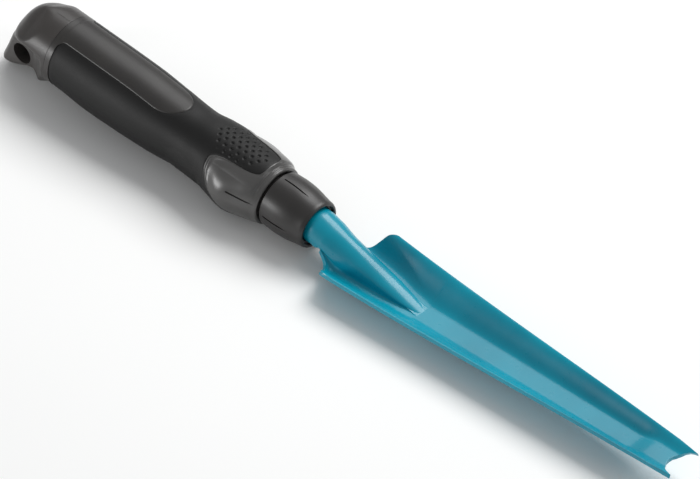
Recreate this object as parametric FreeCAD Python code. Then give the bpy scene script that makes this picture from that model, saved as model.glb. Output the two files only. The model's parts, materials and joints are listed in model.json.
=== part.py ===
import FreeCAD, Part
import math
import os

from FreeCAD import Rotation, Vector

# Hand weeder: a moulded grip with a clamping nose, and a stamped steel blade that plugs into it.
# Everything is modelled along the handle's own axis: +X runs from the butt to the tip, +Z is the thumb
# side, and x = 0 is the plane where the grip meets the clamping collar.  The finished pieces are then
# laid down together, pommel and blade on the ground, with the origin under the middle of the tool.

# ---- driving dimensions, millimetres ----
BUTT_X = -141.0            # rearmost point of the end cap, low on the pommel
SEAM_X = -112.0            # end cap to handle core
BAND_FRONT_X = -109.5      # hard band between the end cap and the soft grip
GRIP_FRONT_X = -0.5        # front of the soft grip
PAD_FRONT_X = -4.7         # front of the thumb pad, where the guard arches over
LAY_ANGLE = 2.9            # how far the handle axis dips towards the tip when the tool lies down

SOFT_SKIN = 2.2            # thickness of the soft grip over the core
INLAY_SKIN = 1.6           # thickness of the inlay
SOCKET_R = 6.3             # socket for the adapter shank
SHANK_R = 6.0              # adapter shank
SHANK_REAR_X = -30.0
FLAT_HALF = 5.0            # the shank's two flats stop it turning
FLAT_FRONT_X = -6.0
HOLLOW_R = 9.0             # hollow of the core, behind the socket
HOLLOW_FRONT_X = -34.0
BULKHEAD_X = -97.0         # front face of the wall that the cap screw bears on
BULKHEAD_THICK = 3.0
SPIGOT_R = 9.8             # the end cap's spigot
FIT_GAP = 0.05

NOSE_END_X = 11.0
NOSE_R = 8.8
THREAD_PITCH = 3.0
THREAD_DEPTH = 0.9
THREAD_BASE = 1.4
THREAD_CREST = 0.7
COLLAR_BORE_R = 9.95
COLLAR_REAR_X = 0.6
COLLAR_FRONT_X = 21.4
COLLAR_REAR_R = 11.7

TANG_R = 7.35              # outside of the rolled tang
SHEET = 1.7                # blade sheet thickness
TANG_REAR_X = 13.0
RIVET_R = 1.25
RIVET_XS = (15.8, 19.0)

V_POINT_X = 76.0           # where the tang's ridge runs out in the trough
PRONG_X = 207.0            # tips of the two prongs
NOTCH_X = 199.8            # bottom of the fishtail notch

PINCH_HALF = 9.5           # half-width of the end cap's pinched lower half
HOLE_X = -128.5            # hanging hole
HOLE_Z = -7.2
HOLE_R = 4.6

X_AXIS = Vector(1, 0, 0)
Y_AXIS = Vector(0, 1, 0)
Z_AXIS = Vector(0, 0, 1)

# Outline of the grip: distance from the axis at the top, 38 degrees up, the side, 38 degrees down
# and the bottom, for each place along the axis.  It is the same on the left and the right.
GRIP_STATIONS = (
    (-114.0, 14.8, 14.8, 14.8, 14.8, 14.8),
    (-106.0, 14.8, 14.8, 14.8, 14.9, 15.0),
    (-90.0, 14.6, 14.8, 15.1, 15.6, 16.0),
    (-75.0, 14.5, 14.7, 15.0, 15.3, 15.6),
    (-59.0, 13.6, 13.9, 14.2, 14.6, 14.8),
    (-43.0, 12.9, 13.1, 13.1, 13.2, 13.2),
    (-34.0, 14.0, 14.2, 13.7, 13.0, 12.8),
    (-27.0, 14.4, 14.6, 15.2, 14.5, 13.3),
    (-17.0, 14.5, 14.5, 16.9, 16.2, 14.1),
    (-9.0, 14.3, 14.2, 15.0, 14.4, 13.2),
    (-3.0, 13.0, 12.6, 12.9, 12.9, 12.3),
    (1.0, 12.2, 11.9, 12.0, 12.1, 11.8),
)
STATION_ANGLES = (90, 38, 0, -38, -90, -142, 180, 142)


# ---- small helpers ----
def rod(x0, x1, radius):
    """Solid cylinder on the handle axis from x0 to x1."""
    return Part.makeCylinder(radius, x1 - x0, Vector(x0, 0, 0), X_AXIS)


def cone(x0, x1, r0, r1):
    """Solid cone on the handle axis, radius r0 at x0 and r1 at x1."""
    return Part.makeCone(r0, r1, x1 - x0, Vector(x0, 0, 0), X_AXIS)


def block(x0, x1, y0, y1, z0, z1):
    """Solid box between two corners."""
    return Part.makeBox(x1 - x0, y1 - y0, z1 - z0, Vector(x0, y0, z0))


def turned(outline):
    """Solid of revolution about the handle axis from (x, radius) points."""
    points = [Vector(x, 0, r) for x, r in outline]
    face = Part.Face(Part.makePolygon(points + points[:1]))
    return face.revolve(Vector(0, 0, 0), X_AXIS, 360)


def smooth(t):
    """Ease from 0 to 1."""
    t = min(max(t, 0.0), 1.0)
    return t * t * (3 - 2 * t)


def closed_spline(points):
    """Wire of one closed smooth curve through the points."""
    curve = Part.BSplineCurve()
    curve.interpolate(Points=points, PeriodicFlag=True)
    return Part.Wire(curve.toShape())


def grip_section(station, inset):
    """Closed wire of one grip section, inset towards the axis."""
    x, top, upper, side, lower, bottom = station
    radii = (top, upper, side, lower, bottom, lower, side, upper)
    points = []
    for angle, radius in zip(STATION_ANGLES, radii):
        turn = math.radians(angle)
        reach = radius - inset
        points.append(Vector(x, reach * math.cos(turn), reach * math.sin(turn)))
    return closed_spline(points)


def grip_solid(inset):
    """The grip's whole outline as a solid, inset towards the axis."""
    return Part.makeLoft([grip_section(s, inset) for s in GRIP_STATIONS], True, False)


def thread(radius, x0, turns, inward):
    """Helical thread ridge on a wall of the given radius, pointing in or out."""
    depth = -THREAD_DEPTH if inward else THREAD_DEPTH
    root = radius - 0.1 * depth / THREAD_DEPTH
    half_base = THREAD_BASE / 2
    half_crest = THREAD_CREST / 2
    helix = Part.makeHelix(THREAD_PITCH, THREAD_PITCH * turns, radius)
    corners = [
        Vector(root, 0, -half_base),
        Vector(radius + depth, 0, -half_crest),
        Vector(radius + depth, 0, half_crest),
        Vector(root, 0, half_base),
    ]
    profile = Part.makePolygon(corners + corners[:1])
    ridge = Part.Wire(helix.Edges).makePipeShell([profile], True, True)
    ridge.rotate(Vector(0, 0, 0), Y_AXIS, 90)
    ridge.translate(Vector(x0, 0, 0))
    return ridge


# ---- grip ----
def inlay_tool(depth):
    """Cutter for the inlay: a long tongue seen from above, rounded at its front end."""
    half_width = 8.2
    straight_end = -60.0
    nose = 12.0
    rear = SEAM_X
    side = Part.makePolygon([Vector(straight_end, -half_width, 0), Vector(rear, -half_width, 0),
                             Vector(rear, half_width, 0), Vector(straight_end, half_width, 0)])
    ellipse = Part.Ellipse(Vector(straight_end, 0, 0), nose, half_width)
    arc = Part.Arc(ellipse, -math.pi / 2, math.pi / 2).toShape()
    tongue = Part.Face(Part.Wire(side.Edges + [arc])).extrude(Vector(0, 0, 20))
    return tongue.cut(grip_solid(depth))


def lobe_tool():
    """Cutter that bounds the guard's two side lobes, seen from the side."""
    points = [Vector(-26.5, 0, 6.5), Vector(-22.0, 0, 10.5), Vector(-8.0, 0, 11.0), Vector(-2.5, 0, 8.0),
              Vector(2.0, 0, 7.5), Vector(2.0, 0, -10.0), Vector(-7.0, 0, -9.5), Vector(-14.0, 0, -7.0),
              Vector(-20.5, 0, -1.0)]
    window = Part.Face(closed_spline(points)).extrude(Vector(0, 40, 0))
    window.translate(Vector(0, -20, 0))
    return window


def guard_region():
    """The guard's share of the skin: left and right of the pad, joined over the top in front of it."""
    arch = block(PAD_FRONT_X, 3, -20, 20, 5, 20)
    window = lobe_tool().fuse(arch).common(rod(-30, GRIP_FRONT_X, 30)).cut(grip_solid(SOFT_SKIN))
    window = window.cut(block(-31, PAD_FRONT_X, -7.6, 7.6, 0, 20))
    return window.cut(block(-31, 3, -20, 20, -20, -11.0))


def make_handle_core():
    """Hard core: hollow handle, rear band and the threaded nose with its socket."""
    body = grip_solid(SOFT_SKIN).common(rod(SEAM_X, GRIP_FRONT_X, 30))
    band = grip_solid(0.0).common(rod(SEAM_X, BAND_FRONT_X, 30))
    threaded = rod(-2.0, NOSE_END_X, NOSE_R).fuse(thread(NOSE_R, 1.6 + THREAD_BASE / 2, 2.4, False))
    core = body.fuse([band, threaded])
    seat = cone(1.5, NOSE_END_X, 6.95, 7.45)
    socket = rod(SHANK_REAR_X - 1.0, NOSE_END_X + 1, SOCKET_R)
    throat = FLAT_HALF + FIT_GAP
    flats = block(SHANK_REAR_X - 1.0, FLAT_FRONT_X, -8, 8, throat, 8)
    flats = flats.fuse(block(SHANK_REAR_X - 1.0, FLAT_FRONT_X, -8, 8, -8, -throat))
    socket = socket.cut(flats)
    hollow = rod(BULKHEAD_X, HOLLOW_FRONT_X, HOLLOW_R)
    way_through = rod(HOLLOW_FRONT_X - 1, SHANK_REAR_X, 4.5)
    screw_hole = rod(BULKHEAD_X - BULKHEAD_THICK - 1, BULKHEAD_X + 1, 2.2)
    cap_seat = rod(SEAM_X - 1, BULKHEAD_X - BULKHEAD_THICK, SPIGOT_R + FIT_GAP)
    key_slots = block(5.0, NOSE_END_X + 1, -12, 12, -1.4, 1.4).cut(rod(4, 13, 7.0))
    return core.cut([seat, socket, hollow, way_through, screw_hole, cap_seat, key_slots,
                     inlay_tool(INLAY_SKIN)])


def make_shoulder_guards():
    """The hard satin guard: a lobe on each shoulder, joined over the top by an arch."""
    return grip_solid(0.0).common(guard_region())


def make_soft_grip():
    """Soft over-moulded skin with the raised thumb pad."""
    skin = grip_solid(0.0).common(rod(BAND_FRONT_X, GRIP_FRONT_X, 30))
    inner = grip_solid(SOFT_SKIN).common(rod(SEAM_X, 1, 30))
    return skin.cut([inner, guard_region(), inlay_tool(INLAY_SKIN)])


def make_top_inlay():
    """Hard tongue set in the top of the grip."""
    return grip_solid(0.0).common(inlay_tool(INLAY_SKIN)).common(rod(SEAM_X, -40, 30))


def make_end_cap():
    """Pommel with a pinched lower half, the hanging hole and a spigot that enters the core."""
    side = [Vector(SEAM_X, 0, 14.8), Vector(-122, 0, 14.9), Vector(-128, 0, 13.9), Vector(-131.6, 0, 10.2),
            Vector(-135.2, 0, 1.6), Vector(-138.8, 0, -9), Vector(BUTT_X, 0, -15.6), Vector(-138.6, 0, -19.1),
            Vector(-133.7, 0, -18.9), Vector(-128.5, 0, -16.3), Vector(-123.5, 0, -14.1),
            Vector(-118, 0, -14.3), Vector(SEAM_X, 0, -14.8)]
    curve = Part.BSplineCurve()
    curve.interpolate(side)
    closing = Part.LineSegment(side[-1], side[0]).toShape()
    profile = Part.Face(Part.Wire([curve.toShape(), closing]))
    body = profile.extrude(Vector(0, 40, 0))
    body.translate(Vector(0, -20, 0))
    tall = [Vector(0, -14.8, 0), Vector(0, -14.8, -30), Vector(0, 14.8, -30), Vector(0, 14.8, 0)]
    arch = Part.Arc(tall[3], Vector(0, 0, 14.8), tall[0]).toShape()
    arch_wire = Part.Wire(Part.makePolygon(tall).Edges + [arch])
    arched = Part.Face(arch_wire).extrude(Vector(40, 0, 0))
    arched.translate(Vector(BUTT_X - 2, 0, 0))
    body = body.common(arched)
    round_front = rod(SEAM_X - 4.0, SEAM_X, 14.8).fuse(block(BUTT_X - 2, SEAM_X - 4.0, -20, 20, -30, 20))
    body = body.common(round_front)
    for sign in (1, -1):
        body = body.cut(pinch_tool(sign))
    body = body.cut(Part.makeCylinder(HOLE_R, 40, Vector(HOLE_X, -20, HOLE_Z), Y_AXIS))
    spigot = rod(SEAM_X - 1, BULKHEAD_X - BULKHEAD_THICK - FIT_GAP, SPIGOT_R)
    pilot = rod(-117.5, BULKHEAD_X, 1.5)
    return body.fuse(spigot).cut(pilot)


def pinch_tool(sign):
    """Cutter for one hollowed side of the end cap, fading out towards the seam."""
    ridge_z = 6.5
    waist = PINCH_HALF
    sides = ((waist, -1.5), (15.2, ridge_z), (22.0, ridge_z), (22.0, -32.0), (waist, -32.0))
    points = [Vector(0, sign * y, z) for y, z in sides]
    bar = Part.Face(Part.makePolygon(points + points[:1])).extrude(Vector(30, 0, 0))
    bar.translate(Vector(BUTT_X - 2, 0, 0))
    plan = [Vector(BUTT_X - 3, sign * waist, -33), Vector(-126, sign * waist, -33),
            Vector(-119.5, sign * 11.6, -33), Vector(-115.5, sign * 14.2, -33), Vector(-112.5, sign * 17, -33)]
    curve = Part.BSplineCurve()
    curve.interpolate(plan)
    corner = [plan[-1], Vector(-112.5, sign * 24, -33), Vector(BUTT_X - 3, sign * 24, -33), plan[0]]
    face = Part.Face(Part.Wire([curve.toShape()] + Part.makePolygon(corner).Edges))
    return bar.common(face.extrude(Vector(0, 0, 40)))


def make_cap_screw():
    """Pan-head screw that pulls the end cap on to the core."""
    head = rod(BULKHEAD_X + 0.8, BULKHEAD_X + 3.4, 3.8)
    shaft = rod(-116.5, BULKHEAD_X + 0.9, 1.5 - 0.02)
    recess = block(BULKHEAD_X + 2.0, BULKHEAD_X + 4, -2.4, 2.4, -0.4, 0.4)
    recess = recess.fuse(block(BULKHEAD_X + 2.0, BULKHEAD_X + 4, -0.4, 0.4, -2.4, 2.4))
    return head.fuse(shaft).cut(recess)


def make_cap_washer():
    """Plain washer under the cap screw's head."""
    return rod(BULKHEAD_X, BULKHEAD_X + 0.8, 4.6).cut(rod(BULKHEAD_X - 1, BULKHEAD_X + 2, 1.7))


# ---- clamp ----
def make_collet():
    """Split clamping sleeve, wedged round the shank when the collar is tightened."""
    sleeve = cone(2.0, 11.05, 6.9, 7.35).fuse(rod(11.05, 12.45, 8.5)).cut(rod(0, 14, SHANK_R + FIT_GAP))
    for angle in (45, 135):
        slit = block(0, 10.2, -9, 9, -0.4, 0.4)
        slit.rotate(Vector(0, 0, 0), X_AXIS, angle)
        sleeve = sleeve.cut(slit)
    return sleeve.cut(block(10.9, 13, -12, 12, -1.6, 1.6).cut(rod(10, 14, 7.45)))


def make_thrust_ring():
    """Ring that follows the collar without turning and pushes on the collet."""
    ring = turned([(12.5, 7.65), (12.5, 8.6), (12.75, 8.6), (12.75, 9.6), (14.15, 9.6), (14.15, 8.7),
                   (19.9, 8.7), (19.9, 7.65)])
    tabs = rod(6.5, 13.0, 8.6).cut(rod(6, 14, 7.65)).common(block(6, 14, -12, 12, -1.2, 1.2))
    notch = block(17.0, 21, 4.0, 7.0, 4.0, 9.0)
    return ring.fuse(tabs).cut(notch)


def make_collar():
    """Union nut: barrel outside with four fine grooves, thread inside, ring pocket in front."""
    outline = [Vector(COLLAR_REAR_X, 0, COLLAR_REAR_R - 0.4), Vector(COLLAR_REAR_X + 0.5, 0, COLLAR_REAR_R)]
    swell = Part.Arc(outline[1], Vector(9.5, 0, 11.75), Vector(18.2, 0, 10.7)).toShape()
    front = Part.Arc(Vector(18.2, 0, 10.7), Vector(20.5, 0, 10.25), Vector(COLLAR_FRONT_X, 0, 9.3)).toShape()
    rear = Part.makePolygon([Vector(COLLAR_REAR_X, 0, 0)] + outline).Edges
    closing = Part.makePolygon([Vector(COLLAR_FRONT_X, 0, 9.3), Vector(COLLAR_FRONT_X, 0, 0),
                                Vector(COLLAR_REAR_X, 0, 0)]).Edges
    face = Part.Face(Part.Wire(rear + [swell, front] + closing))
    outside = face.revolve(Vector(0, 0, 0), X_AXIS, 360)
    inside = turned([(0, 0), (0, 10.5), (1.0, COLLAR_BORE_R), (11.4, COLLAR_BORE_R), (11.4, 10.45),
                     (12.55, 10.45), (12.55, COLLAR_BORE_R), (14.45, COLLAR_BORE_R), (14.45, 8.95),
                     (20.2, 8.95), (20.2, 8.3), (20.8, 8.3), (22.0, 9.5), (22.0, 0)])
    ridge = thread(COLLAR_BORE_R, 3.1 + THREAD_BASE / 2, 2.2, True)
    collar = outside.cut(inside).fuse(ridge)
    groove = block(COLLAR_REAR_X + 2.2, 17.0, -0.45, 0.45, COLLAR_REAR_R - 1.1, 14)
    for quarter in range(4):
        cut = groove.copy()
        cut.rotate(Vector(0, 0, 0), X_AXIS, 90 * quarter)
        collar = collar.cut(cut)
    return collar


def make_collar_snap_ring():
    """Open wire ring that keeps the thrust ring in the collar."""
    ring = Part.makeTorus(9.85, 0.5, Vector(11.97, 0, 0), X_AXIS)
    return ring.cut(block(11, 13, -2.0, 2.0, -12, 0))


# ---- tool head ----
def edge_y(x):
    """Half-width of the blade at x."""
    return 17.9 - (x - 40) * 0.0585


def edge_z(x):
    """Height of the blade's edge at x."""
    return 0.8 + 8.2 * smooth((x - 40) / 190.0) + 0.01 * (x - 40)


def floor_z(x):
    """Height of the trough's bottom at x."""
    if x <= V_POINT_X:
        return -6.7
    return -6.7 + 13.4 * (x - V_POINT_X) / (PRONG_X - V_POINT_X)


def ridge_z(x):
    """Height of the tang's ridge at x, falling straight to the trough's bottom."""
    t = (x - 21.0) / (V_POINT_X - 21.0)
    return TANG_R - (TANG_R - floor_z(V_POINT_X)) * min(max(t, 0.0), 1.0)


def wing_points(x):
    """Half section of the trough and its wing, from the middle out."""
    out = edge_y(x) + 1.2
    low = floor_z(x)
    high = edge_z(x)
    top = max(ridge_z(x), low)
    cone_y = 7.4 * min(1.0, max(0.0, (V_POINT_X - x) / (V_POINT_X - 34.0)))
    flat = 0.34 * out + 0.36 * cone_y
    points = [(0.0, top),
              (0.45 * cone_y + 0.10 * flat, top - 0.28 * (top - low)),
              (0.85 * cone_y + 0.28 * flat, top - 0.80 * (top - low)),
              (0.55 * cone_y + 0.75 * flat, low + 0.01 * (high - low)),
              (0.62 * out + 0.10 * cone_y, low + 0.20 * (high - low)),
              (0.74 * out + 0.05 * cone_y, low + 0.58 * (high - low)),
              (0.86 * out, low + 0.88 * (high - low)),
              (out, high)]
    return points


def tube_points(x):
    """Half section of the rolled tang at x, from the top round to its seam, which opens out forwards."""
    count = 8
    sweep = 172 - 80 * smooth((x - 20.0) / 9.0)
    points = []
    for index in range(count):
        turn = math.radians(90 - index * sweep / (count - 1))
        points.append((TANG_R * math.cos(turn), TANG_R * math.sin(turn)))
    return points


def blade_section(x):
    """Closed wire of the sheet's section at x: the upper face and the same face one sheet down."""
    unroll = smooth((x - 28.0) / 11.0)
    sink = ridge_z(x) - TANG_R
    half = []
    for (ty, tz), (wy, wz) in zip(tube_points(x), wing_points(x)):
        y = ty + (wy - ty) * unroll
        half.append((y, tz + sink + (wz - tz - sink) * unroll))
    outer = [(-y, z) for y, z in reversed(half[1:])] + half
    inner = []
    for index, (y, z) in enumerate(outer):
        before = outer[max(index - 1, 0)]
        after = outer[min(index + 1, len(outer) - 1)]
        run = (after[0] - before[0], after[1] - before[1])
        length = math.hypot(*run)
        inner.append((y + SHEET * run[1] / length, z - SHEET * run[0] / length))
    steps = list(range(len(outer)))
    upper = Part.BSplineCurve()
    upper.interpolate(Points=[Vector(x, y, z) for y, z in outer], Parameters=steps)
    lower = Part.BSplineCurve()
    lower.interpolate(Points=[Vector(x, y, z) for y, z in inner], Parameters=steps)
    ends = [Part.LineSegment(Vector(x, *outer[i]), Vector(x, *inner[i])).toShape() for i in (0, -1)]
    return Part.Wire([upper.toShape(), ends[1], lower.toShape(), ends[0]])


def blade_outline():
    """Outline of the blade seen from above, as a tall prism."""
    neck = [(TANG_REAR_X - 1, 7.9), (30.5, 7.9)]
    far_rear = [(35.0, 8.6), (38.5, 10.4), (41.0, 13.4), (43.5, 16.2), (47.0, 17.5)]
    near_rear = [(33.5, 8.8), (35.6, 11.4), (36.8, 14.2), (38.4, 16.9), (40.5, 17.7)]
    side = [(PRONG_X - 9.5, edge_y(PRONG_X - 9.5)), (PRONG_X - 6.0, 9.2), (PRONG_X, 8.0)]
    notch = [(NOTCH_X + 3.6, 6.1), (NOTCH_X + 1.0, 3.6), (NOTCH_X, 0.0)]
    points = [Vector(x, y, -40) for x, y in neck + far_rear + side + notch]
    points += [Vector(x, -y, -40) for x, y in reversed(neck + near_rear + side + notch[:-1])]
    return Part.Face(Part.makePolygon(points + points[:1])).extrude(Vector(0, 0, 80))


def make_blade():
    """Stamped steel blade with its rolled tang."""
    stations = [TANG_REAR_X, 20, 22, 24, 26, 28, 30, 32, 34, 36, 38, 41, 46, 53, 61, 69, 76, 84, 100, 125, 155,
                185, 213]
    sheet = Part.makeLoft([blade_section(x) for x in stations], True, True)
    return sheet.common(blade_outline())


def make_tang_core():
    """Moulded adapter: a shank for the socket and a front end that fills the rolled tang."""
    shank = rod(SHANK_REAR_X, TANG_REAR_X, SHANK_R)
    flats = block(SHANK_REAR_X - 1, FLAT_FRONT_X + 0.2, -8, 8, FLAT_HALF, 8)
    flats = flats.fuse(block(SHANK_REAR_X - 1, FLAT_FRONT_X + 0.2, -8, 8, -8, -FLAT_HALF))
    front = rod(TANG_REAR_X, 22.0, TANG_R - SHEET - FIT_GAP)
    return shank.cut(flats).fuse(front)


def rivet(x):
    """One flush cross rivet."""
    pin = Part.makeCylinder(RIVET_R, 20, Vector(x, -10, 0), Y_AXIS)
    return pin.common(rod(x - 3, x + 3, TANG_R - 0.02))


def make_tool_head():
    """Blade, adapter and rivets, with the rivet holes cut."""
    rivets = [rivet(x) for x in RIVET_XS]
    holes = [Part.makeCylinder(RIVET_R, 20, Vector(x, -10, 0), Y_AXIS) for x in RIVET_XS]
    blade = make_blade().cut(holes)
    core = make_tang_core().cut(holes)
    return {"blade": blade, "tang_core": core, "tang_rivets": Part.makeCompound(rivets)}


def build():
    """All pieces on the handle axis."""
    pieces = {
        "handle_core": make_handle_core(),
        "soft_grip": make_soft_grip(),
        "shoulder_guards": make_shoulder_guards(),
        "top_inlay": make_top_inlay(),
        "end_cap": make_end_cap(),
        "cap_screw": make_cap_screw(),
        "cap_washer": make_cap_washer(),
        "collet": make_collet(),
        "thrust_ring": make_thrust_ring(),
        "collar": make_collar(),
        "collar_snap_ring": make_collar_snap_ring(),
    }
    pieces.update(make_tool_head())
    return pieces


def lay_down(pieces):
    """Tilt all pieces on to the ground and put the origin under the middle of the tool."""
    for shape in pieces.values():
        shape.rotate(Vector(0, 0, 0), Y_AXIS, LAY_ANGLE)
    box = Part.makeCompound(list(pieces.values())).optimalBoundingBox(False, False)
    shift = Vector(-(box.XMin + box.XMax) / 2, 0, -box.ZMin)
    for shape in pieces.values():
        shape.translate(shift)
    return shift


def main():
    """Build, lay down and write one STEP file for each piece."""
    os.makedirs("parts", exist_ok=True)
    pieces = build()
    shift = lay_down(pieces)
    print("axis point x=0 now at", [round(v, 3) for v in shift])
    for name, shape in pieces.items():
        print(name, "valid", shape.isValid(), "solids", len(shape.Solids), "mm3", round(shape.Volume, 1))
        shape.exportStep(os.path.join("parts", name + ".step"))


main()
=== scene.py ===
import json
import logging
import math
from dataclasses import dataclass, field
from enum import Enum
from typing import Sequence

import bpy
import numpy as np
from mathutils import Matrix, Vector


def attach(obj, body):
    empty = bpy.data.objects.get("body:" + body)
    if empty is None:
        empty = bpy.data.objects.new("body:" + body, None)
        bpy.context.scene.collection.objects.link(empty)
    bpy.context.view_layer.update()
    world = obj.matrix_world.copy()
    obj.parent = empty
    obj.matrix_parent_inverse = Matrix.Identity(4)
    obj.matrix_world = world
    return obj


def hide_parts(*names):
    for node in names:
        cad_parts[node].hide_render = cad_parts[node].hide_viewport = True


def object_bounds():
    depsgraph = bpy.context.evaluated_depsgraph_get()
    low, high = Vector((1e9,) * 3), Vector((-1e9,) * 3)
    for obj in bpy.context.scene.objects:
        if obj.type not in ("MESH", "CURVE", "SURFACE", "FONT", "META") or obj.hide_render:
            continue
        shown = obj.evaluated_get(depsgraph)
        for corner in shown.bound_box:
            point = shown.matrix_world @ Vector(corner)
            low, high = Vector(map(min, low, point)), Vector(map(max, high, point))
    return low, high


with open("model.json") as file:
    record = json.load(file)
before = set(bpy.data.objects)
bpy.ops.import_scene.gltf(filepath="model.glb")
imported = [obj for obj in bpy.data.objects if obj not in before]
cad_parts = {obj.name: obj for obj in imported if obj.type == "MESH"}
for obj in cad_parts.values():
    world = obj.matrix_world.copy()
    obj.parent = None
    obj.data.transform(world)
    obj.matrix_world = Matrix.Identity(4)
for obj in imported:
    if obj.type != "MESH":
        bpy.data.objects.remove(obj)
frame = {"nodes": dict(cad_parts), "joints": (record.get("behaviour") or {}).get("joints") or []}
CAD_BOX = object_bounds()

LOG = logging.getLogger("hand_weeder")
MM = 0.001
FULL_TURN = 360.0

# Outline of the grip: distance from the handle's axis at the top, 38 degrees up, the side, 38 degrees
# down and the bottom, in millimetres, for each place along the axis.  x = 0 is the collar seam.
GRIP_STATIONS = (
    (-114.0, 14.8, 14.8, 14.8, 14.8, 14.8),
    (-106.0, 14.8, 14.8, 14.8, 14.9, 15.0),
    (-90.0, 14.6, 14.8, 15.1, 15.6, 16.0),
    (-75.0, 14.5, 14.7, 15.0, 15.3, 15.6),
    (-59.0, 13.6, 13.9, 14.2, 14.6, 14.8),
    (-43.0, 12.9, 13.1, 13.1, 13.2, 13.2),
    (-34.0, 14.0, 14.2, 13.7, 13.0, 12.8),
    (-27.0, 14.4, 14.6, 15.2, 14.5, 13.3),
    (-17.0, 14.5, 14.5, 16.9, 16.2, 14.1),
    (-9.0, 14.3, 14.2, 15.0, 14.4, 13.2),
    (-4.3, 14.1, 13.6, 13.5, 13.3, 12.6),
    (-2.7, 12.6, 12.5, 12.8, 12.8, 12.3),
    (1.0, 12.1, 11.9, 12.0, 12.1, 11.8),
)
STATION_TURNS = (0.0, 52.0, 90.0, 128.0, 180.0)      # degrees from the top

# Rear border of the hard guard: degrees from the top, then the place along the axis.
GUARD_BORDER = ((0.0, -4.3), (14.0, -4.3), (24.0, -4.9), (29.5, -7.4), (32.2, -11.0), (33.8, -16.0),
                (35.6, -21.0), (40.0, -25.2), (48.0, -27.2), (60.0, -27.2), (80.0, -24.6),
                (104.0, -18.2), (128.0, -10.6), (150.0, -5.6), (180.0, -3.6))


class Body(Enum):
    """Rigid bodies of the tool."""

    HANDLE = "handle"
    THRUST = "thrust"
    COLLAR = "collar"
    TOOL_HEAD = "tool_head"


# ---------------------------------------------------------------- materials
def linear(hex_colour: str) -> tuple[float, float, float, float]:
    """Turn an sRGB hex colour into linear values.

    Args:
        hex_colour: Colour such as "#5A5755".

    Returns:
        Linear red, green, blue and an alpha of one.
    """
    channels = [int(hex_colour[i:i + 2], 16) / 255 for i in (1, 3, 5)]
    values = [c / 12.92 if c <= 0.04045 else ((c + 0.055) / 1.055) ** 2.4 for c in channels]
    return (values[0], values[1], values[2], 1.0)


def add_node(tree: bpy.types.NodeTree, kind: str, settings: dict | None = None,
             links: dict | None = None) -> bpy.types.Node:
    """Add one node with its settings and its links.

    Args:
        tree: Node tree that gets the node.
        kind: Node type name.
        settings: Properties, or input sockets by name or number, and their values.
        links: Input sockets by name or number, and the output sockets that feed them.

    Returns:
        The new node.
    """
    node = tree.nodes.new(kind)
    for key, value in (settings or {}).items():
        if isinstance(key, str) and hasattr(node, key):
            setattr(node, key, value)
        else:
            node.inputs[key].default_value = value
    for key, output in (links or {}).items():
        tree.links.new(output, node.inputs[key])
    return node


@dataclass(frozen=True)
class Finish:
    """What all finishes share: a name, two near tones, and how a node material starts and ends."""

    name: str
    tint: str
    shade: str

    def start(self) -> tuple[bpy.types.Material, bpy.types.NodeTree, bpy.types.NodeSocket]:
        """Start an empty material.

        Returns:
            The material, its node tree and the Object coordinates.
        """
        material = bpy.data.materials.new(self.name)
        material.use_nodes = True
        tree = material.node_tree
        tree.nodes.clear()
        return material, tree, add_node(tree, "ShaderNodeTexCoord").outputs["Object"]

    def clouded(self, tree: bpy.types.NodeTree, place: bpy.types.NodeSocket, settings: dict,
                low: float = 0.0, high: float = 1.0) -> tuple[bpy.types.NodeSocket, bpy.types.NodeSocket]:
        """Drift from the shade to the tint over a noise.

        Args:
            tree: The material's nodes.
            place: Coordinates of the noise.
            settings: Settings of the noise.
            low: Noise value where the shade ends.
            high: Noise value where the tint starts.

        Returns:
            The noise and the colour.
        """
        cloud = add_node(tree, "ShaderNodeTexNoise", settings, {"Vector": place}).outputs["Fac"]
        colour = add_node(tree, "ShaderNodeValToRGB", links={"Fac": cloud})
        dark, light = colour.color_ramp.elements
        dark.position, light.position = low, high
        dark.color, light.color = linear(self.shade), linear(self.tint)
        return cloud, colour.outputs["Color"]

    @staticmethod
    def close(tree: bpy.types.NodeTree, settings: dict, links: dict) -> None:
        """End the tree with its shader and its output."""
        shader = add_node(tree, "ShaderNodeBsdfPrincipled", settings, links)
        add_node(tree, "ShaderNodeOutputMaterial", links={"Surface": shader.outputs["BSDF"]})

    def make(self) -> bpy.types.Material:
        """Build the material; each finish does this its own way."""
        raise NotImplementedError


@dataclass(frozen=True)
class Moulded(Finish):
    """A moulded polymer: a tint that drifts with the flow, and the mould's fine spark-eroded grain.

    The real grain is about 0.1 mm; it is drawn at 0.3 to 0.4 mm, because finer wouldn't show.
    """

    roughness: float
    grain_mm: float
    grain_depth_mm: float
    sheen: float = 0.0
    coat: float = 0.0
    drift_mm: float = 14.0
    polish_spread: float = 0.06
    gloss: float = 0.5

    def make(self) -> bpy.types.Material:
        """Build the material.

        Returns:
            The node material.
        """
        material, tree, place = self.start()
        colour = self.clouded(tree, place, {"Scale": 1 / (self.drift_mm * MM), "Detail": 3.0}, 0.30, 0.72)[1]
        grain = add_node(tree, "ShaderNodeTexNoise",
                         {"Scale": 1 / (self.grain_mm * MM), "Detail": 4.0, "Roughness": 0.62},
                         {"Vector": place}).outputs["Fac"]
        polish = add_node(tree, "ShaderNodeMapRange",
                          {"From Min": 0.3, "From Max": 0.7, "To Min": self.roughness - self.polish_spread,
                           "To Max": self.roughness + self.polish_spread}, {"Value": grain})
        bump = add_node(tree, "ShaderNodeBump", {"Strength": 0.55, "Distance": self.grain_depth_mm * MM},
                        {"Height": grain})
        self.close(tree, {"IOR": 1.49, "Specular IOR Level": self.gloss, "Sheen Weight": self.sheen,
                          "Sheen Roughness": 0.5, "Coat Weight": self.coat, "Coat Roughness": 0.28},
                   {"Base Color": colour, "Roughness": polish.outputs["Result"],
                    "Normal": bump.outputs["Normal"]})
        return material


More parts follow.
